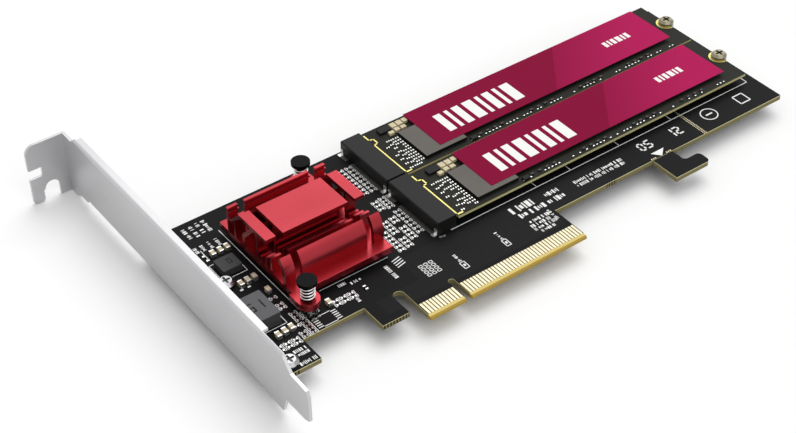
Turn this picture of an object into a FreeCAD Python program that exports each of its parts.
import FreeCAD, Part

# Two-drive storage adapter card: a long circuit board with an edge connector, a full-height
# bracket, an extruded heat sink over the switch chip, and two 110 mm drive modules in sockets.
#
# Frame: X runs along the board away from the bracket, Y from the edge connector up the board,
# Z out of the component side. The origin is the middle of the connector's key notch, at the tip
# of the tongue, on the board's underside. Millimetres throughout.
import math
import operator
import os
import Sketcher
from FreeCAD import Placement, Rotation, Vector

# ---------------------------------------------------------------- driving sizes
SIZES = [
    # circuit board
    ("board_thickness", 1.57),
    ("board_left", -55.2),
    ("board_margin", 3.9),
    ("board_top", 68.9),
    ("board_foot", 12.95),
    ("tongue_left_run", 11.2),
    ("tongue_right_run", 38.2),
    ("key_width", 1.9),
    ("key_depth", 8.45),
    ("bevel_run", 1.3),
    ("bevel_rise", 0.45),
    ("bay_width", 3.2),
    ("tab_run", 8.2),
    ("tab_foot", 4.8),
    ("ear_run", 13.2),
    # retention hook on the lower edge
    ("hook_left", 74.6),
    ("hook_stem", 7.2),
    ("hook_reach", 12.7),
    ("hook_foot", 3.35),
    ("hook_arm", 4.5),
    ("hook_corner", 1.3),
    # score lines where the end of the board or the hook snaps off
    ("score_place", 95.0),
    ("score_width", 0.4),
    ("score_depth", 0.3),
    # edge contacts
    ("contact_pitch", 1.0),
    ("contact_width", 0.7),
    ("contact_length", 4.3),
    ("plating", 0.05),
    ("key_pin_gap", 3.0),
    ("left_pin_count", 11),
    ("right_pin_count", 38),
    # bracket, folded from sheet
    ("sheet", 0.86),
    ("bracket_face", -56.8),
    ("bracket_length", 120.02),
    ("bracket_width", 18.42),
    ("bracket_tail", -12.06),
    ("bracket_low", -1.8),
    ("bracket_step", 1.1),
    ("flange_width", 2.45),
    ("flange_start", 7.8),
    ("flange_gap", 7.66),
    ("fold_radius", 0.9),
    ("tongue_width", 10.19),
    ("tongue_low", 2.2),
    ("head_reach", 11.43),
    ("head_drop", 2.5),
    ("head_relief", 1.4),
    ("screw_notch", 4.42),
    ("screw_notch_offset", 5.35),
    ("screw_notch_depth", 5.8),
    ("finger_width", 3.4),
    ("side_notch_low", 8.4),
    ("side_notch_high", 11.5),
    ("side_notch_depth", 3.9),
    ("lug_reach", 13.0),
    ("lug_width", 5.8),
    ("lug_corner", 1.6),
    # bracket screws
    ("lug_low_x", -49.2),
    ("lug_low_y", 7.9),
    ("lug_high_x", -46.6),
    ("lug_high_y", 41.3),
    ("lug_screw_hole", 3.3),
    ("lug_screw_shank", 2.9),
    ("lug_screw_head", 4.8),
    ("lug_screw_head_height", 1.7),
    ("lug_screw_end", 0.6),
    # heat sink
    ("sink_left", -36.9),
    ("sink_length", 30.4),
    ("sink_near", 24.0),
    ("sink_depth", 35.5),
    ("sink_lift", 2.0),
    ("sink_base", 1.8),
    ("near_ear_inset", 2.1),
    ("near_ear_offset", 3.0),
    ("far_ear_inset", 3.2),
    ("far_ear_offset", 1.9),
    ("sink_ear_radius", 3.1),
    ("sink_fin", 0.8),
    ("roof_top", 13.35),
    ("roof_sheet", 1.15),
    ("roof_near", 36.1),
    ("roof_far", 48.8),
    ("roof_slope", 4.5),
    ("trough_sheet", 0.7),
    ("slope_fin_y", 51.2),
    ("stem_inset", 1.3),
    ("stem_lean", 4.0),
    ("wall_fin_y", 40.3),
    ("wall_centre_y", 35.1),
    ("wall_centre_z", 6.5),
    ("wall_radius", 7.3),
    ("wall_sheet", 1.3),
    ("far_fin_y", 54.6),
    ("far_fin_top", 11.8),
    ("far_fin_sheet", 0.6),
    ("far_fin_lip", 0.35),
    ("far_fin_ledge", 0.9),
    ("fan_fin_y", 34.3),
    ("fan_fin_pitch", 2.45),
    ("mill_slot", 2.1),
    ("mill_cap", 3.1),
    # push pins and their springs
    ("pin_shaft", 2.4),
    ("pin_clearance", 0.3),
    ("pin_head", 5.3),
    ("pin_head_height", 1.0),
    ("pin_head_top", 10.0),
    ("pin_barb", 3.9),
    ("pin_tip", 3.6),
    ("pin_split", 0.6),
    ("spring_wire", 0.5),
    ("spring_mean", 3.6),
    ("spring_turns", 4.5),
    # switch chip under the heat sink
    ("switch_side", 23.0),
    ("switch_base", 0.9),
    ("switch_lid_side", 16.0),
    ("switch_lid", 0.8),
    # drives and sockets
    ("row_near", 23.7),
    ("row_gap", 0.6),
    ("drive_edge", 11.0),
    ("drive_length", 110.0),
    ("drive_width", 22.0),
    ("drive_sheet", 0.8),
    ("drive_gap", 2.45),
    ("drive_shoulder", 1.075),
    ("drive_tongue", 4.0),
    ("drive_key_offset", 6.125),
    ("drive_key_width", 1.2),
    ("drive_key_depth", 3.9),
    ("drive_mount_radius", 1.75),
    ("drive_pin_pitch", 0.5),
    ("drive_pin_width", 0.35),
    ("drive_pin_length", 3.2),
    ("drive_pin_inset", 0.3),
    ("drive_row_margin", 1.0),
    ("socket_depth", 6.3),
    ("socket_inset", 0.05),
    ("socket_height", 4.2),
    ("socket_cover", 3.2),
    ("socket_clearance", 0.2),
    ("socket_roof", 0.5),
    ("tail_reach", 1.2),
    ("tail_sheet", 0.15),
    ("riser_place", 0.9),
    ("standoff_width", 5.0),
    ("standoff_pilot", 3.4),
    ("standoff_bore", 2.5),
    ("drive_screw_head", 4.6),
    ("drive_screw_head_height", 1.5),
    ("drive_screw_grip", 2.2),
    # parts on the drives
    ("chip_height", 1.05),
    ("controller_x", 12.0),
    ("controller_length", 14.0),
    ("controller_y", -9.0),
    ("controller_width", 13.5),
    ("memory_x", 31.0),
    ("memory_end", 9.5),
    ("memory_length", 14.0),
    ("memory_width", 17.0),
    ("memory_count", 4),
    ("label_x", 17.9),
    ("label_end", 5.4),
    ("label_y", -7.4),
    ("label_width", 17.6),
    ("label_sheet", 0.12),
    # power parts near the bracket
    ("coil_large_x", -52.4),
    ("coil_large_y", 20.9),
    ("coil_large_length", 9.4),
    ("coil_large_width", 10.0),
    ("coil_large_height", 4.0),
    ("coil_small_x", -45.5),
    ("coil_small_y", 43.8),
    ("coil_small_length", 5.7),
    ("coil_small_width", 5.4),
    ("coil_small_height", 2.0),
    ("coil_corner", 0.25),
    ("regulator_side", 3.0),
    ("regulator_height", 0.9),
    ("regulator_x", -52.6),
    ("passive_length", 2.0),
    ("passive_width", 1.25),
    ("passive_end", 0.4),
    ("resistor_length", 1.6),
    ("resistor_width", 0.8),
    ("resistor_height", 0.45),
]

doc = FreeCAD.newDocument("storage_adapter_card")
sheet = doc.addObject("Spreadsheet::Sheet", "Sizes")
for row, (alias, number) in enumerate(SIZES, start=1):
    sheet.set(f"A{row}", alias)
    sheet.set(f"B{row}", str(number))
    sheet.setAlias(f"B{row}", alias)
doc.recompute()


class Size(float):
    """A number that remembers the spreadsheet formula it was worked out from."""

    def __new__(cls, number, formula):
        size = super().__new__(cls, number)
        size.formula = formula
        return size


def formula_of(number):
    return number.formula if isinstance(number, Size) else repr(float(number))


def operation(sign, work):
    """The two methods by which a Size meets another number across one sign."""
    def forward(self, other):
        text = f"({formula_of(self)} {sign} {formula_of(other)})"
        return Size(work(float(self), float(other)), text)

    def backward(self, other):
        text = f"({formula_of(other)} {sign} {formula_of(self)})"
        return Size(work(float(other), float(self)), text)

    return forward, backward


Size.__add__, Size.__radd__ = operation("+", operator.add)
Size.__sub__, Size.__rsub__ = operation("-", operator.sub)
Size.__mul__, Size.__rmul__ = operation("*", operator.mul)
Size.__truediv__, Size.__rtruediv__ = operation("/", operator.truediv)
Size.__neg__ = lambda self: 0 - self


class Sheet:
    """Reads the spreadsheet: size.board_top is the cell of that alias."""

    def __getattr__(self, alias):
        return Size(float(sheet.get(alias)), f"Sizes.{alias}")


size = Sheet()

# ---------------------------------------------------------------- modelling helpers
nodes = []


def bind(item, prop, number):
    """Sets a property by expression, so that it follows the spreadsheet."""
    item.setExpression(prop, formula_of(number))


def place(item, x=0.0, y=0.0, z=0.0):
    for axis, number in zip("xyz", (x, y, z)):
        bind(item, f"Placement.Base.{axis}", number)


def new_body(label):
    item = doc.addObject("PartDesign::Body", label)
    item.Label = label
    item.AllowCompound = True
    return item


def datum(body, role):
    return next(item for item in body.Origin.OriginFeatures if item.Role == role)


def new_sketch(body, plane, lift=0.0):
    """An empty sketch on one of the body's own planes, lifted along the plane's normal."""
    item = body.newObject("Sketcher::SketchObject", "Sketch")
    item.AttachmentSupport = [(datum(body, f"{plane}_Plane"), "")]
    item.MapMode = "FlatFace"
    bind(item, "AttachmentOffset.Base.z", lift)
    return item


def fix(item, kind, geometry, point, number):
    """Holds a point's distance from the sketch origin along one direction."""
    constraint = Sketcher.Constraint(kind, -1, 1, geometry, point, float(number))
    index = item.addConstraint(constraint)
    if isinstance(number, Size):
        bind(item, f"Constraints[{index}]", number)


def fix_radius(item, geometry, radius):
    index = item.addConstraint(Sketcher.Constraint("Radius", geometry, float(radius)))
    bind(item, f"Constraints[{index}]", radius)


def arc_between(start, end, radius):
    """Arc from start to end; a positive radius turns left, a negative one right."""
    chord = end - start
    side = Vector(-chord.y, chord.x, 0).normalize()
    reach = math.sqrt(max(radius * radius - chord.Length * chord.Length / 4, 0.0))
    centre = (start + end) / 2 + side * math.copysign(reach, radius)
    first, last = (start, end) if radius > 0 else (end, start)
    turn_first = math.atan2(first.y - centre.y, first.x - centre.x)
    turn_last = math.atan2(last.y - centre.y, last.x - centre.x)
    circle = Part.Circle(centre, Vector(0, 0, 1), abs(radius))
    return Part.ArcOfCircle(circle, turn_first, turn_last)


def fix_arc(item, geometry, start, end, radius):
    """Holds an arc's radius or, for a half circle, its centre level with its ends."""
    chord = math.hypot(end[0] - start[0], end[1] - start[1])
    if abs(chord - 2 * abs(radius)) > 1e-6:
        fix_radius(item, geometry, radius if radius > 0 else -radius)
    elif abs(start[1] - end[1]) < 1e-6:
        fix(item, "DistanceY", geometry, 3, start[1])
    else:
        fix(item, "DistanceX", geometry, 3, start[0])


def outline(item, corners):
    """Closed profile. A corner is (a, b), or (a, b, radius) where an arc starts there."""
    points = [Vector(float(corner[0]), float(corner[1]), 0) for corner in corners]
    first = item.GeometryCount
    ends = []
    for index, corner in enumerate(corners):
        start, end = points[index], points[(index + 1) % len(points)]
        if len(corner) == 3:
            item.addGeometry(arc_between(start, end, float(corner[2])), False)
            ends.append((1, 2) if corner[2] > 0 else (2, 1))
        else:
            item.addGeometry(Part.LineSegment(start, end), False)
            ends.append((1, 2))
    for index, corner in enumerate(corners):
        following = (index + 1) % len(corners)
        joint = (first + index, ends[index][1], first + following, ends[following][0])
        item.addConstraint(Sketcher.Constraint("Coincident", *joint))
    for index, corner in enumerate(corners):
        fix(item, "DistanceX", first + index, ends[index][0], corner[0])
        fix(item, "DistanceY", first + index, ends[index][0], corner[1])
        if len(corner) == 3:
            following = corners[(index + 1) % len(corners)]
            fix_arc(item, first + index, corner, following, corner[2])


def rectangle(item, left, low, right, high):
    outline(item, [(left, low), (right, low), (right, high), (left, high)])


def rounds(item, circles):
    """Full circles, each given as (a, b, radius)."""
    for a, b, radius in circles:
        circle = Part.Circle(Vector(float(a), float(b), 0), Vector(0, 0, 1), float(radius))
        geometry = item.addGeometry(circle, False)
        fix(item, "DistanceX", geometry, 3, a)
        fix(item, "DistanceY", geometry, 3, b)
        fix_radius(item, geometry, radius)


def pad(body, profile, length, reverse=False):
    item = body.newObject("PartDesign::Pad", "Pad")
    item.Profile = profile
    bind(item, "Length", length)
    item.Reversed = reverse
    doc.recompute()
    return item


def pocket(body, profile, length=None, reverse=False):
    """Cuts a profile into the body, by a length or, with none, right through both ways."""
    before = body.Shape.Volume
    item = body.newObject("PartDesign::Pocket", "Pocket")
    item.Profile = profile
    item.Reversed = reverse
    if length is None:
        item.Type = "ThroughAll"
        item.SideType = "Symmetric"
    else:
        bind(item, "Length", length)
    doc.recompute()
    if not body.Shape.Volume < before - 1e-6:
        raise RuntimeError(f"a pocket of {body.Label} cuts nothing")
    return item


def revolve(body, profile):
    """Turns a profile a full circle about the sketch's vertical axis."""
    item = body.newObject("PartDesign::Revolution", "Revolution")
    item.Profile = profile
    item.ReferenceAxis = (profile, ["V_Axis"])
    item.Angle = 360
    doc.recompute()
    return item


def soften(body, feature, radius, chosen):
    """Fillets or chamfers the edges that a test picks."""
    base = body.Tip
    names = [f"Edge{number}" for number, edge in enumerate(base.Shape.Edges, 1) if chosen(edge)]
    if not names:
        raise RuntimeError(f"{body.Label} has no edge to soften")
    item = body.newObject(f"PartDesign::{feature}", feature)
    item.Base = (base, names)
    bind(item, "Radius" if feature == "Fillet" else "Size", radius)
    doc.recompute()
    return item


def along(edge, axis):
    """True for a straight edge that runs along one axis."""
    if len(edge.Vertexes) != 2:
        return False
    step = edge.Vertexes[1].Point - edge.Vertexes[0].Point
    return step.Length > 1e-6 and abs(abs(step.normalize().dot(axis)) - 1) < 1e-6


def near(edge, **where):
    """True when the middle of an edge lies at the given coordinates."""
    middle = edge.BoundBox.Center
    return all(abs(getattr(middle, axis) - float(at)) < 0.01 for axis, at in where.items())


def keep(item):
    nodes.append(item)
    return item


def block(label, x, y, z, length, width, height):
    item = doc.addObject("Part::Box", label)
    item.Label = label
    for prop, number in (("Length", length), ("Width", width), ("Height", height)):
        bind(item, prop, number)
    place(item, x, y, z)
    return item


def group(label, solids):
    """Several separate solids kept together as one sub-part."""
    item = doc.addObject("Part::Feature", label)
    item.Label = label
    item.Shape = Part.makeCompound(solids)
    return item


def cuboid(x, y, z, length, width, height):
    return Part.makeBox(float(length), float(width), float(height), Vector(x, y, z))


X, Y, Z = Vector(1, 0, 0), Vector(0, 1, 0), Vector(0, 0, 1)

# ---------------------------------------------------------------- fits used by several pieces
face = size.board_thickness
tongue_left = -(size.key_width / 2 + size.tongue_left_run)
tongue_right = size.key_width / 2 + size.tongue_right_run
bay_left = tongue_left - size.bay_width
tab_left = bay_left - size.tab_run
ear_right = size.board_left + size.ear_run
hook_end = size.hook_left + size.hook_reach
hook_stem_right = size.hook_left + size.hook_stem
hook_top = size.hook_foot + size.hook_arm

sink_right = size.sink_left + size.sink_length
sink_far = size.sink_near + size.sink_depth
sink_floor = face + size.sink_lift
sink_deck = sink_floor + size.sink_base
pin_places = [
    (size.sink_left + size.near_ear_inset, size.sink_near - size.near_ear_offset),
    (sink_right - size.far_ear_inset, sink_far + size.far_ear_offset),
]
pin_hole = (size.pin_shaft + 2 * size.pin_clearance) / 2

rows = {
    "lower": size.row_near + size.drive_width / 2,
    "upper": size.row_near + size.drive_width * 1.5 + size.row_gap,
}
drive_tongue_width = size.drive_width - 2 * size.drive_shoulder
socket_width = size.drive_width - 2 * size.socket_inset
drive_floor = face + size.drive_gap
drive_deck = drive_floor + size.drive_sheet
drive_end = size.drive_edge + size.drive_length
board_right = drive_end + size.board_margin
socket_rear = size.drive_edge + size.socket_cover - size.socket_depth
lug_screws = [(size.lug_low_x, size.lug_low_y), (size.lug_high_x, size.lug_high_y)]

# ---------------------------------------------------------------- circuit board
# Module lengths that the row of stand-off holes serves; the longest one is in use.
MODULE_LENGTHS = (30, 42, 60, 80)


def make_board():
    board = new_body("circuit_board")
    profile = new_sketch(board, "XY")
    outline(profile, [
        (size.board_left, size.tab_foot),
        (ear_right, size.tab_foot),
        (ear_right, size.board_foot),
        (tab_left, size.board_foot),
        (tab_left, size.tab_foot),
        (bay_left, size.tab_foot),
        (bay_left, size.board_foot),
        (tongue_left, size.board_foot),
        (tongue_left, 0.0),
        (tongue_right, 0.0),
        (tongue_right, size.board_foot),
        (size.hook_left, size.board_foot),
        (size.hook_left, size.hook_foot),
        (hook_end, size.hook_foot),
        (hook_end, hook_top),
        (hook_stem_right, hook_top),
        (hook_stem_right, size.board_foot),
        (board_right, size.board_foot),
        (board_right, size.board_top),
        (size.board_left, size.board_top),
    ])
    pad(board, profile, size.board_thickness)

    key = new_sketch(board, "XY")
    half = size.key_width / 2
    outline(key, [
        (-half, -1.0),
        (half, -1.0),
        (half, size.key_depth - half, half),
        (-half, size.key_depth - half),
    ])
    pocket(board, key)

    # both faces of the tongue slope towards its tip
    bevel = new_sketch(board, "YZ")
    outline(bevel, [(0.0, 0.0), (size.bevel_run, 0.0), (0.0, size.bevel_rise)])
    outline(bevel, [(0.0, face), (size.bevel_run, face), (0.0, face - size.bevel_rise)])
    pocket(board, bevel)

    holes = new_sketch(board, "XY")
    rounds(holes, [(x, y, size.lug_screw_hole / 2) for x, y in lug_screws])
    rounds(holes, [(x, y, pin_hole) for x, y in pin_places])
    for centre in rows.values():
        rounds(holes, [(drive_end, centre, size.standoff_pilot / 2)])
        for length in MODULE_LENGTHS:
            rounds(holes, [(size.drive_edge + length, centre, size.standoff_pilot / 2)])
    pocket(board, holes)

    # score lines on both faces: across the board, and across the foot of the hook
    half = size.score_width / 2
    for lift, reverse in ((face, False), (0.0, True)):
        score = new_sketch(board, "XY", lift)
        rectangle(score, size.score_place - half, size.board_foot,
                  size.score_place + half, size.board_top)
        rectangle(score, size.hook_left, size.board_foot - size.score_width,
                  hook_stem_right, size.board_foot)
        pocket(board, score, size.score_depth, reverse)

    soften(board, "Fillet", size.bay_width * 0.49,
           lambda edge: along(edge, Z) and near(edge, y=size.board_foot)
           and (near(edge, x=bay_left) or near(edge, x=tongue_left)))
    soften(board, "Fillet", size.hook_corner,
           lambda edge: along(edge, Z) and (near(edge, x=hook_end)
                                            or near(edge, x=hook_stem_right, y=hook_top)))
    return keep(board)


# ---------------------------------------------------------------- edge contacts
def make_edge_contacts(label, z):
    """One face's plated contacts: a short run, the key gap, and a long run."""
    contacts = new_body(label)
    half = size.contact_width / 2
    runs = [
        (-size.key_pin_gap / 2 - (size.left_pin_count - 1) * size.contact_pitch, size.left_pin_count),
        (size.key_pin_gap / 2, size.right_pin_count),
    ]
    for start, count in runs:
        profile = new_sketch(contacts, "XY")
        rectangle(profile, start - half, size.bevel_run, start + half,
                  size.bevel_run + size.contact_length)
        first = pad(contacts, profile, size.plating)
        pattern = contacts.newObject("PartDesign::LinearPattern", "Pattern")
        pattern.Originals = [first]
        pattern.Direction = (datum(contacts, "X_Axis"), [""])
        bind(pattern, "Length", (count - 1) * size.contact_pitch)
        bind(pattern, "Occurrences", count)
        contacts.Tip = pattern
        doc.recompute()
    place(contacts, z=z)
    return keep(contacts)


# ---------------------------------------------------------------- bracket
def make_bracket():
    bracket = new_body("bracket")
    head = size.bracket_tail + size.bracket_length
    high = size.bracket_low + size.bracket_width
    head_low = size.bracket_low - size.head_drop
    head_high = high - size.head_relief
    tongue_high = size.tongue_low + size.tongue_width
    inner = size.bracket_face + size.sheet
    flange_end = head - size.flange_gap

    plate = new_sketch(bracket, "YZ", size.bracket_face)
    outline(plate, [
        (size.bracket_tail, size.tongue_low + 0.8),
        (size.bracket_tail + 1.9, size.tongue_low),
        (size.bracket_tail + 10.0, size.tongue_low),
        (size.bracket_tail + 11.6, size.bracket_low - size.bracket_step),
        (size.bracket_tail + 17.6, size.bracket_low - size.bracket_step),
        (size.bracket_tail + 18.8, size.bracket_low),
        (head - 11.9, size.bracket_low),
        (head - 10.6, size.bracket_low - size.bracket_step),
        (head - 6.7, size.bracket_low - size.bracket_step),
        (head - 3.9, head_low),
        (head, head_low),
        (head, head_high),
        (flange_end + 2.0, head_high),
        (flange_end + 0.6, high),
        (size.bracket_tail + 10.6, high),
        (size.bracket_tail + 7.2, tongue_high + 0.4),
        (size.bracket_tail + 0.8, tongue_high),
        (size.bracket_tail, tongue_high - 1.7),
    ])
    pad(bracket, plate, size.sheet)

    flange = new_sketch(bracket, "XY", high - size.sheet)
    rectangle(flange, size.bracket_face, size.flange_start,
              size.bracket_face + size.flange_width, flange_end)
    pad(bracket, flange, size.sheet)

    # the head folds outwards and carries the case screw's open notch
    tab = new_sketch(bracket, "XZ", -head)
    outer = size.bracket_face - size.head_reach
    notch_x = size.bracket_face - size.screw_notch_offset
    half = size.screw_notch / 2
    finger_right = outer + size.finger_width
    outline(tab, [
        (outer, head_low + 0.6),
        (outer + 0.6, head_low),
        (finger_right - 0.6, head_low),
        (finger_right, head_low + 0.6),
        (finger_right, head_low + size.screw_notch_depth - half),
        (notch_x - half, head_low + size.screw_notch_depth - half, -half),
        (notch_x + half, head_low + size.screw_notch_depth - half),
        (notch_x + half, head_low),
        (inner, head_low),
        (inner, head_high),
        (outer + 3.0, head_high, 3.0),
        (outer, head_high - 3.0),
        (outer, head_low + size.side_notch_high),
        (outer + size.side_notch_depth, head_low + size.side_notch_high),
        (outer + size.side_notch_depth, head_low + size.side_notch_low),
        (outer, head_low + size.side_notch_low),
    ])
    pad(bracket, tab, size.sheet)

    # two lugs fold inwards under the board and take its screws
    lugs = new_sketch(bracket, "XY", -size.sheet)
    for x, y in lug_screws:
        rectangle(lugs, size.bracket_face, y - size.lug_width / 2,
                  size.bracket_face + size.lug_reach, y + size.lug_width / 2)
    pad(bracket, lugs, size.sheet)
    bores = new_sketch(bracket, "XY")
    rounds(bores, [(x, y, size.lug_screw_shank / 2) for x, y in lug_screws])
    pocket(bracket, bores)

    soften(bracket, "Fillet", size.fold_radius,
           lambda edge: along(edge, Y) and near(edge, x=size.bracket_face, z=high))
    soften(bracket, "Fillet", size.fold_radius,
           lambda edge: along(edge, Z) and near(edge, x=inner, y=head))
    soften(bracket, "Fillet", size.lug_corner,
           lambda edge: along(edge, Z) and near(edge, x=size.bracket_face + size.lug_reach))
    return keep(bracket)


# ---------------------------------------------------------------- screws
def make_screw(label, head, head_height, shank, length):
    """Pan-head screw with a cross recess; its seat is at its own origin."""
    screw = new_body(label)
    profile = new_sketch(screw, "XZ")
    crown = head_height * 0.45
    outline(profile, [
        (0.0, -length),
        (shank / 2, -length),
        (shank / 2, 0.0),
        (head / 2, 0.0),
        (head / 2, head_height - crown),
        (head / 2 - crown, head_height),
        (0.0, head_height),
    ])
    revolve(screw, profile)
    recess = new_sketch(screw, "XY", head_height)
    arm, slit = head * 0.28, head * 0.07
    outline(recess, [
        (-arm, -slit), (-slit, -slit), (-slit, -arm), (slit, -arm),
        (slit, -slit), (arm, -slit), (arm, slit), (slit, slit),
        (slit, arm), (-slit, arm), (-slit, slit), (-arm, slit),
    ])
    pocket(screw, recess, head_height * 0.55)
    return screw


def make_bracket_screws():
    screw = make_screw("bracket_screw", size.lug_screw_head, size.lug_screw_head_height,
                       size.lug_screw_shank, face + size.sheet + size.lug_screw_end)
    return keep(group("bracket_screws", [
        screw.Shape.translated(Vector(x, y, face)) for x, y in lug_screws]))


# ---------------------------------------------------------------- heat sink
def make_heat_sink():
    sink = new_body("heat_sink")
    base = new_sketch(sink, "XY", sink_floor)
    rectangle(base, size.sink_left, size.sink_near, sink_right, sink_far)
    pad(sink, base, size.sink_base)

    radius = size.sink_ear_radius
    for (x, y), edge in zip(pin_places, (size.sink_near + 1.0, sink_far - 1.0)):
        turn = radius if float(edge) > float(y) else -radius
        ear = new_sketch(sink, "XY", sink_floor)
        outline(ear, [(x - radius, y, turn), (x + radius, y), (x + radius, edge),
                      (x - radius, edge)])
        pad(sink, ear, size.sink_base)

    # fins, roof and curved wall are one extrusion along X
    deck = sink_deck - 0.2
    fin = size.sink_fin
    roof = face + size.roof_top
    drop = size.roof_slope
    under = roof - size.roof_sheet
    centre_y = size.wall_centre_y
    centre_z = face + size.wall_centre_z
    outer = size.wall_radius
    inside = size.wall_radius - size.wall_sheet
    slant = math.sqrt(0.5)
    trough = roof - drop
    trough_low = trough - size.trough_sheet

    def bar(corners):
        profile = new_sketch(sink, "YZ", size.sink_left)
        outline(profile, corners)
        pad(sink, profile, size.sink_length)

    def plain_fin(y, top):
        bar([(y, deck), (y + fin, deck), (y + fin, top), (y, top)])

    # the far fin, with a lip along its top and a ledge below
    y = size.far_fin_y
    top = face + size.far_fin_top
    ledge = top - 0.9
    rim = y + size.far_fin_sheet
    bar([(y, deck), (rim, deck), (rim, top), (y - size.far_fin_lip, top),
         (y - size.far_fin_lip, top - 0.35), (y, top - 0.35), (y, ledge),
         (y - size.far_fin_ledge, ledge), (y - size.far_fin_ledge, ledge - 0.5),
         (y, ledge - 0.5)])
    # the roof slopes down to a trough that meets the far fin
    bar([(size.roof_near, roof), (size.roof_near, under), (size.roof_far - 0.45, under),
         (size.roof_far + drop - 0.3, trough_low), (y + 0.3, trough_low),
         (y + 0.3, trough), (size.roof_far + drop, trough), (size.roof_far, roof)])
    plain_fin(size.slope_fin_y, trough + 0.4)
    stem = size.roof_far - size.stem_inset
    top = under + 0.2
    bar([(stem - fin, deck), (stem + fin / 2, deck), (stem + fin / 2, deck + 4.0),
         (stem - size.stem_lean, top), (stem - size.stem_lean - 1.6, top),
         (stem - fin, deck + 3.4)])
    plain_fin(size.wall_fin_y, top)
    # the curved wall, open at its top, and three thin fins behind it
    bar([(centre_y - outer, deck), (centre_y - inside, deck), (centre_y - inside, centre_z, -inside),
         (centre_y - inside * slant, centre_z + inside * slant),
         (centre_y - outer * slant, centre_z + outer * slant, outer),
         (centre_y - outer, centre_z)])
    for step, height in enumerate((8.9, 7.3, 6.0)):
        plain_fin(size.fan_fin_y - fin / 2 + size.fan_fin_pitch * step, face + height)

    # a slot is milled across the fins near each end, down to the base
    slots = new_sketch(sink, "XY", sink_deck)
    for left in (size.sink_left + size.mill_cap, sink_right - size.mill_cap - size.mill_slot):
        rectangle(slots, left, size.sink_near + 1.0, left + size.mill_slot, sink_far - 1.0)
    pocket(sink, slots, size.roof_top, reverse=True)

    holes = new_sketch(sink, "XY")
    rounds(holes, [(x, y, pin_hole) for x, y in pin_places])
    pocket(sink, holes)
    return keep(sink)


# ---------------------------------------------------------------- push pins and springs
pin_head_floor = face + size.pin_head_top - size.pin_head_height


def make_push_pins():
    """Nylon pins: a round head, a shaft and a split barb that snaps in under the board."""
    pin = new_body("push_pin")
    profile = new_sketch(pin, "XZ")
    shaft, barb, head = size.pin_shaft / 2, size.pin_barb / 2, size.pin_head / 2
    outline(profile, [
        (0.0, -size.pin_tip),
        (shaft * 0.6, -size.pin_tip),
        (barb, -1.3),
        (barb, -0.1),
        (shaft, -0.1),
        (shaft, pin_head_floor),
        (head, pin_head_floor),
        (head, face + size.pin_head_top),
        (0.0, face + size.pin_head_top),
    ])
    revolve(pin, profile)
    split = new_sketch(pin, "XZ")
    half = size.pin_split / 2
    rectangle(split, -half, -size.pin_tip - 0.5, half, face + 0.6)
    pocket(pin, split)
    return keep(group("push_pins", [pin.Shape.translated(Vector(x, y, 0))
                                    for x, y in pin_places]))


def coil(x, y, low, high):
    """Helical wire between two heights, as a closed shell of flat faces round the helix."""
    sides, steps = 4, 12
    wire = float(size.spring_wire) / 2
    mean = float(size.spring_mean) / 2
    count = int(round(float(size.spring_turns) * steps))
    rings = []
    for index in range(count + 1):
        turn = 2 * math.pi * index / steps
        out = Vector(math.cos(turn), math.sin(turn), 0)
        z = low + wire + (high - low - 2 * wire) * index / count
        ring = []
        for side in range(sides):
            angle = 2 * math.pi * (side + 0.5) / sides
            reach = mean + wire * math.cos(angle)
            ring.append(Vector(x, y, z + wire * math.sin(angle)) + out * reach)
        rings.append(ring)
    faces = [Part.Face(Part.makePolygon(ring + ring[:1])) for ring in (rings[0], rings[-1])]
    for ring, following in zip(rings, rings[1:]):
        for side in range(sides):
            after = (side + 1) % sides
            a, b, c, d = ring[side], ring[after], following[after], following[side]
            faces.append(Part.Face(Part.makePolygon([a, b, c, a])))
            faces.append(Part.Face(Part.makePolygon([a, c, d, a])))
    shell = Part.makeShell(faces)
    shell.sewShape()
    solid = Part.makeSolid(shell)
    if solid.Volume < 0:
        solid.reverse()
    return solid


def make_springs():
    gap = 0.02
    return keep(group("push_pin_springs", [
        coil(x, y, sink_deck + gap, pin_head_floor - gap) for x, y in pin_places]))


# ---------------------------------------------------------------- switch chip
def make_switch():
    """The switch chip: a laminate base, its metal lid, and the pad that feeds the sink."""
    middle_x = size.sink_left + size.sink_length / 2
    middle_y = size.sink_near + size.sink_depth / 2

    def slab(label, side, z, height):
        return keep(block(label, middle_x - side / 2, middle_y - side / 2, z, side, side, height))

    slab("switch_chip_base", size.switch_side, face, size.switch_base)
    slab("switch_chip_lid", size.switch_lid_side, face + size.switch_base, size.switch_lid)
    lid_top = face + size.switch_base + size.switch_lid
    slab("thermal_pad", size.switch_lid_side, lid_top, sink_floor - lid_top)


# ---------------------------------------------------------------- drive sockets
def contact_rows():
    """Offsets across a drive of its contacts, leaving out the ones that the key removes."""
    room = drive_tongue_width - size.drive_row_margin
    count = int(float(room) / float(size.drive_pin_pitch)) + 1
    first = -size.drive_pin_pitch * (count - 1) / 2
    places = [first + size.drive_pin_pitch * index for index in range(count)]
    return [y for y in places if abs(float(y) - float(size.drive_key_offset)) > 1.0]


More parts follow.
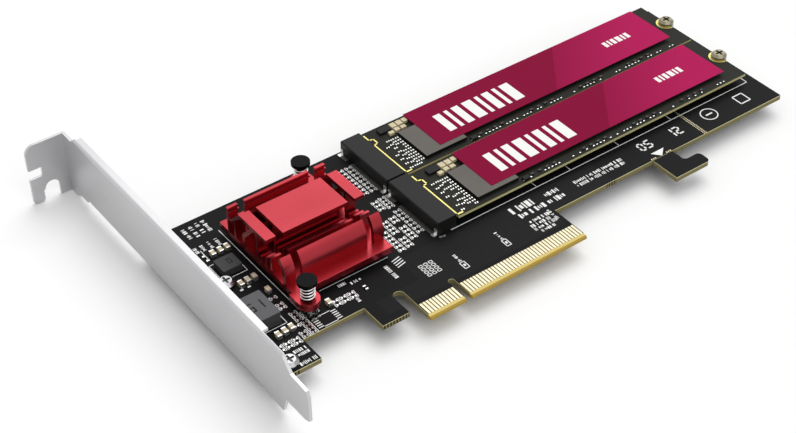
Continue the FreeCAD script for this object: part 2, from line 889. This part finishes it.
def make_socket(row, centre):
    """Moulded housing, open towards the drive, with the key's rib across its slot."""
    socket = new_body(f"drive_socket_{row}")
    half = socket_width / 2
    base = new_sketch(socket, "XY")
    rectangle(base, 0.0, -half, size.socket_depth, half)
    pad(socket, base, size.socket_height)

    wall = size.socket_depth - size.socket_cover - size.socket_clearance
    low = size.drive_gap - 0.55
    high = size.socket_height - size.socket_roof
    reach = (drive_tongue_width + 2 * size.socket_clearance) / 2
    slot = new_sketch(socket, "YZ", size.socket_depth)
    rectangle(slot, -reach, low, reach, high)
    pocket(socket, slot, size.socket_depth - wall)

    rib = new_sketch(socket, "XY", low)
    rib_half = (size.drive_key_width - size.socket_clearance) / 2
    rectangle(rib, wall, size.drive_key_offset - rib_half, size.socket_depth - 0.4,
              size.drive_key_offset + rib_half)
    pad(socket, rib, high - low)

    # the way of the contact springs: in under the rear wall, up a channel, on into the slot
    spring_reach = drive_tongue_width / 2 - 0.2
    back = size.riser_place - 0.1
    front = size.riser_place + size.tail_sheet + 0.1
    foot = new_sketch(socket, "YZ")
    rectangle(foot, -spring_reach, 0.0, spring_reach, size.tail_sheet + 0.1)
    pocket(socket, foot, front, reverse=True)
    channel = new_sketch(socket, "XY")
    rectangle(channel, back, -spring_reach, front, spring_reach)
    pocket(socket, channel, high, reverse=True)
    slit = new_sketch(socket, "YZ", back)
    rectangle(slit, -spring_reach, high - 0.35, spring_reach, high)
    pocket(socket, slit, wall - back, reverse=True)

    soften(socket, "Chamfer", 0.3,
           lambda edge: near(edge, x=0, z=size.socket_height) and along(edge, Y))
    place(socket, socket_rear, centre, face)
    return keep(socket)


def make_socket_contacts(row, centre):
    """Spring contacts: solder tail, riser inside the housing, and beam onto the drive."""
    thick = float(size.tail_sheet)
    ceiling = float(size.socket_height - size.socket_roof) - 0.02
    touch = float(size.drive_gap + size.drive_sheet + size.plating)
    tip = float(size.socket_depth) - 1.0
    riser = float(size.riser_place)
    tail = -float(size.tail_reach)
    path = [
        (tail, 0), (riser + thick, 0), (riser + thick, ceiling - thick), (tip, touch),
        (tip, touch + thick), (riser, ceiling), (riser, thick), (tail, thick),
    ]
    wide = 0.2
    solids = []
    for y in contact_rows():
        start = float(centre) + float(y) - wide / 2
        points = [Vector(float(socket_rear) + a, start, float(face) + b) for a, b in path]
        profile = Part.Face(Part.makePolygon(points + points[:1]))
        solids.append(profile.extrude(Vector(0, wide, 0)))
    return keep(group(f"socket_contacts_{row}", solids))


def make_socket_anchors():
    """Metal anchors behind the housings' corners, soldered down to the board."""
    solids = []
    for centre in rows.values():
        for side in (-1, 1):
            middle = float(centre) + side * (float(socket_width) / 2 - 0.75)
            rear = float(socket_rear)
            foot = cuboid(rear - 1.3, middle - 0.6, face, 1.3, 1.2, 0.2)
            leg = cuboid(rear - 0.2, middle - 0.6, face, 0.2, 1.2, 1.8)
            solids.append(foot.fuse(leg).removeSplitter())
    return keep(group("socket_anchors", solids))


# ---------------------------------------------------------------- drives
def make_drive_board(row, centre):
    board = new_body(f"drive_board_{row}")
    half = size.drive_width / 2
    tongue = drive_tongue_width / 2
    profile = new_sketch(board, "XY")
    outline(profile, [
        (0.0, -tongue), (size.drive_tongue, -tongue), (size.drive_tongue, -half),
        (size.drive_length, -half), (size.drive_length, half), (size.drive_tongue, half),
        (size.drive_tongue, tongue), (0.0, tongue),
    ])
    pad(board, profile, size.drive_sheet)
    cuts = new_sketch(board, "XY")
    rounds(cuts, [(size.drive_length, 0.0, size.drive_mount_radius)])
    pocket(board, cuts)
    key = new_sketch(board, "XY")
    radius = size.drive_key_width / 2
    outline(key, [
        (-1.0, size.drive_key_offset - radius),
        (size.drive_key_depth - radius, size.drive_key_offset - radius, radius),
        (size.drive_key_depth - radius, size.drive_key_offset + radius),
        (-1.0, size.drive_key_offset + radius),
    ])
    pocket(board, key)
    place(board, size.drive_edge, centre, drive_floor)
    return keep(board)


def make_drive_contacts(row, centre):
    """Plated fingers along the drive's connector edge, on its upper face."""
    solids = []
    for y in contact_rows():
        side = float(centre) + float(y) - float(size.drive_pin_width) / 2
        left = float(size.drive_edge + size.drive_pin_inset)
        solids.append(cuboid(left, side, drive_deck, size.drive_pin_length,
                             size.drive_pin_width, size.plating))
    return keep(group(f"drive_contacts_{row}", solids))


def make_drive_chips(row, centre):
    keep(block(f"drive_controller_{row}", size.drive_edge + size.controller_x,
               centre + size.controller_y, drive_deck, size.controller_length,
               size.controller_width, size.chip_height))
    solids = []
    middle = float(centre + size.label_y + size.label_width / 2)
    run = size.drive_length - size.memory_x - size.memory_end - size.memory_length
    for index in range(int(size.memory_count)):
        step = run / (size.memory_count - 1) * index
        left = float(size.drive_edge + size.memory_x + step)
        solids.append(cuboid(left, middle - float(size.memory_width) / 2, float(drive_deck),
                             size.memory_length, size.memory_width, size.chip_height))
    keep(group(f"drive_memory_{row}", solids))
    keep(block(f"drive_label_{row}", size.drive_edge + size.label_x, centre + size.label_y,
               drive_deck + size.chip_height,
               size.drive_length - size.label_x - size.label_end, size.label_width,
               size.label_sheet))


# Small parts on a drive: x and y from its connector edge and centre line, then their size.
DRIVE_POWER_CHIPS = [(8.0, 8.3, 3.6, 2.2, 0.7), (27.0, -9.7, 2.0, 1.4, 0.6)]
DRIVE_CAPACITORS = [
    (12.2, 8.4, 1.7, 1.9), (14.3, 8.4, 1.7, 1.9), (12.2, 6.3, 1.6, 1.4), (10.0, 5.9, 1.6, 1.2),
    (16.4, 8.6, 1.4, 1.6), (14.3, 6.2, 1.6, 1.2),
]


def make_drive_small_parts():
    """Voltage chips and capacitors around the controller and along the near edge."""
    chips, capacitors = [], []
    edge = float(size.drive_edge)
    deck = float(drive_deck)
    for centre in map(float, rows.values()):
        for x, y, length, width, height in DRIVE_POWER_CHIPS:
            chips.append(cuboid(edge + x, centre + y - width / 2, deck, length, width, height))
        for x, y, length, width in DRIVE_CAPACITORS:
            capacitors.append(cuboid(edge + x, centre + y - width / 2, deck, length, width, 0.8))
        for cluster in (30.0, 48.5, 67.0, 85.5):
            for step in range(4):
                x = edge + cluster + 2.6 * step
                y = centre - float(size.drive_width) / 2 + 1.4
                capacitors.append(cuboid(x, y, deck, 1.0, 0.55, 0.5))
    keep(group("drive_power_chips", chips))
    keep(group("drive_capacitors", capacitors))


def make_standoffs():
    """Threaded pillars pressed into the board under the free end of each drive."""
    solids = []
    for centre in rows.values():
        at = Vector(drive_end, centre, 0)
        pillar = Part.makeCylinder(float(size.standoff_width) / 2, float(size.drive_gap),
                                   at + Vector(0, 0, face))
        pilot = Part.makeCylinder(float(size.standoff_pilot) / 2, float(face), at)
        bore = Part.makeCylinder(float(size.standoff_bore) / 2, float(drive_floor), at)
        solids.append(pillar.fuse(pilot).removeSplitter().cut(bore))
    return keep(group("standoffs", solids))


def make_drive_screws():
    screw = make_screw("drive_screw", size.drive_screw_head, size.drive_screw_head_height,
                       size.standoff_bore, size.drive_sheet + size.drive_screw_grip)
    return keep(group("drive_screws", [
        screw.Shape.translated(Vector(drive_end, centre, drive_deck))
        for centre in rows.values()]))


# ---------------------------------------------------------------- power parts by the bracket
def make_inductor(label, x, y, length, width, height):
    coil_body = new_body(label)
    profile = new_sketch(coil_body, "XY")
    rectangle(profile, 0.0, 0.0, length, width)
    pad(coil_body, profile, height)
    soften(coil_body, "Chamfer", size.coil_corner, lambda edge: along(edge, Z))
    place(coil_body, x, y, face)
    return keep(coil_body)


# Ceramic capacitors stand lengthwise along Y; resistors lie lengthwise along Y too.
CAPACITOR_PLACES = [
    (-43.3, 53.0), (-41.0, 53.0), (-38.9, 53.1),
    (-43.7, 38.6), (-41.6, 38.8), (-39.5, 38.9),
    (-39.4, 32.6), (-29.8, 19.4),
    (-46.4, 17.2), (-44.3, 17.4), (-42.2, 17.6),
]
RESISTOR_PLACES = [(-48.3, 49.2), (-49.9, 49.2), (-36.0, 17.6), (-34.4, 17.6), (-19.0, 18.6)]


def make_passives():
    """Ceramic bodies with a soldered metal cap on each end."""
    capacitors, resistors, ends = [], [], []

    def chip(bodies, x, y, length, width, height):
        cap = float(size.passive_end)
        core = cuboid(x - width / 2, y - length / 2 + cap, face, width, length - 2 * cap, height)
        bodies.append(core)
        for start in (y - length / 2, y + length / 2 - cap):
            ends.append(cuboid(x - width / 2, start, face, width, cap, height))

    long, wide = float(size.passive_length), float(size.passive_width)
    for x, y in CAPACITOR_PLACES:
        chip(capacitors, x, y, long, wide, wide)
    long, wide = float(size.resistor_length), float(size.resistor_width)
    for x, y in RESISTOR_PLACES:
        chip(resistors, x, y, long, wide, float(size.resistor_height))
    keep(group("ceramic_capacitors", capacitors))
    keep(group("chip_resistors", resistors))
    keep(group("solder_caps", ends))


def make_regulators():
    side, height = float(size.regulator_side), float(size.regulator_height)
    low = float(size.coil_large_y + size.coil_large_width) + 1.2
    high = float(size.coil_small_y) + 1.0
    return keep(group("regulator_chips", [
        cuboid(size.regulator_x, y, face, side, side, height) for y in (low, high)]))


# ---------------------------------------------------------------- assembly
make_board()
make_edge_contacts("edge_contacts_front", face)
make_edge_contacts("edge_contacts_back", -size.plating)
make_bracket()
make_bracket_screws()
make_switch()
make_heat_sink()
make_push_pins()
make_springs()
for row, centre in rows.items():
    make_socket(row, centre)
    make_socket_contacts(row, centre)
    make_drive_board(row, centre)
    make_drive_contacts(row, centre)
    make_drive_chips(row, centre)
make_socket_anchors()
make_drive_small_parts()
make_standoffs()
make_drive_screws()
make_inductor("inductor_large", size.coil_large_x, size.coil_large_y, size.coil_large_length,
              size.coil_large_width, size.coil_large_height)
make_inductor("inductor_small", size.coil_small_x, size.coil_small_y, size.coil_small_length,
              size.coil_small_width, size.coil_small_height)
make_passives()
make_regulators()

doc.recompute()

# ---------------------------------------------------------------- checks and export
for item in doc.Objects:
    if "Invalid" in item.State or "Error" in item.State:
        raise RuntimeError(f"{item.Label} ({item.Name}) failed: {item.State}")
for node in nodes:
    if node.Shape.isNull() or not node.Shape.isValid():
        raise RuntimeError(f"{node.Label} has no valid shape")

os.makedirs("parts", exist_ok=True)
for node in nodes:
    node.Shape.exportStep(f"parts/{node.Label}.step")
    print(f"{node.Label:26s} {len(node.Shape.Solids):4d} solids {node.Shape.Volume:10.2f} mm3")
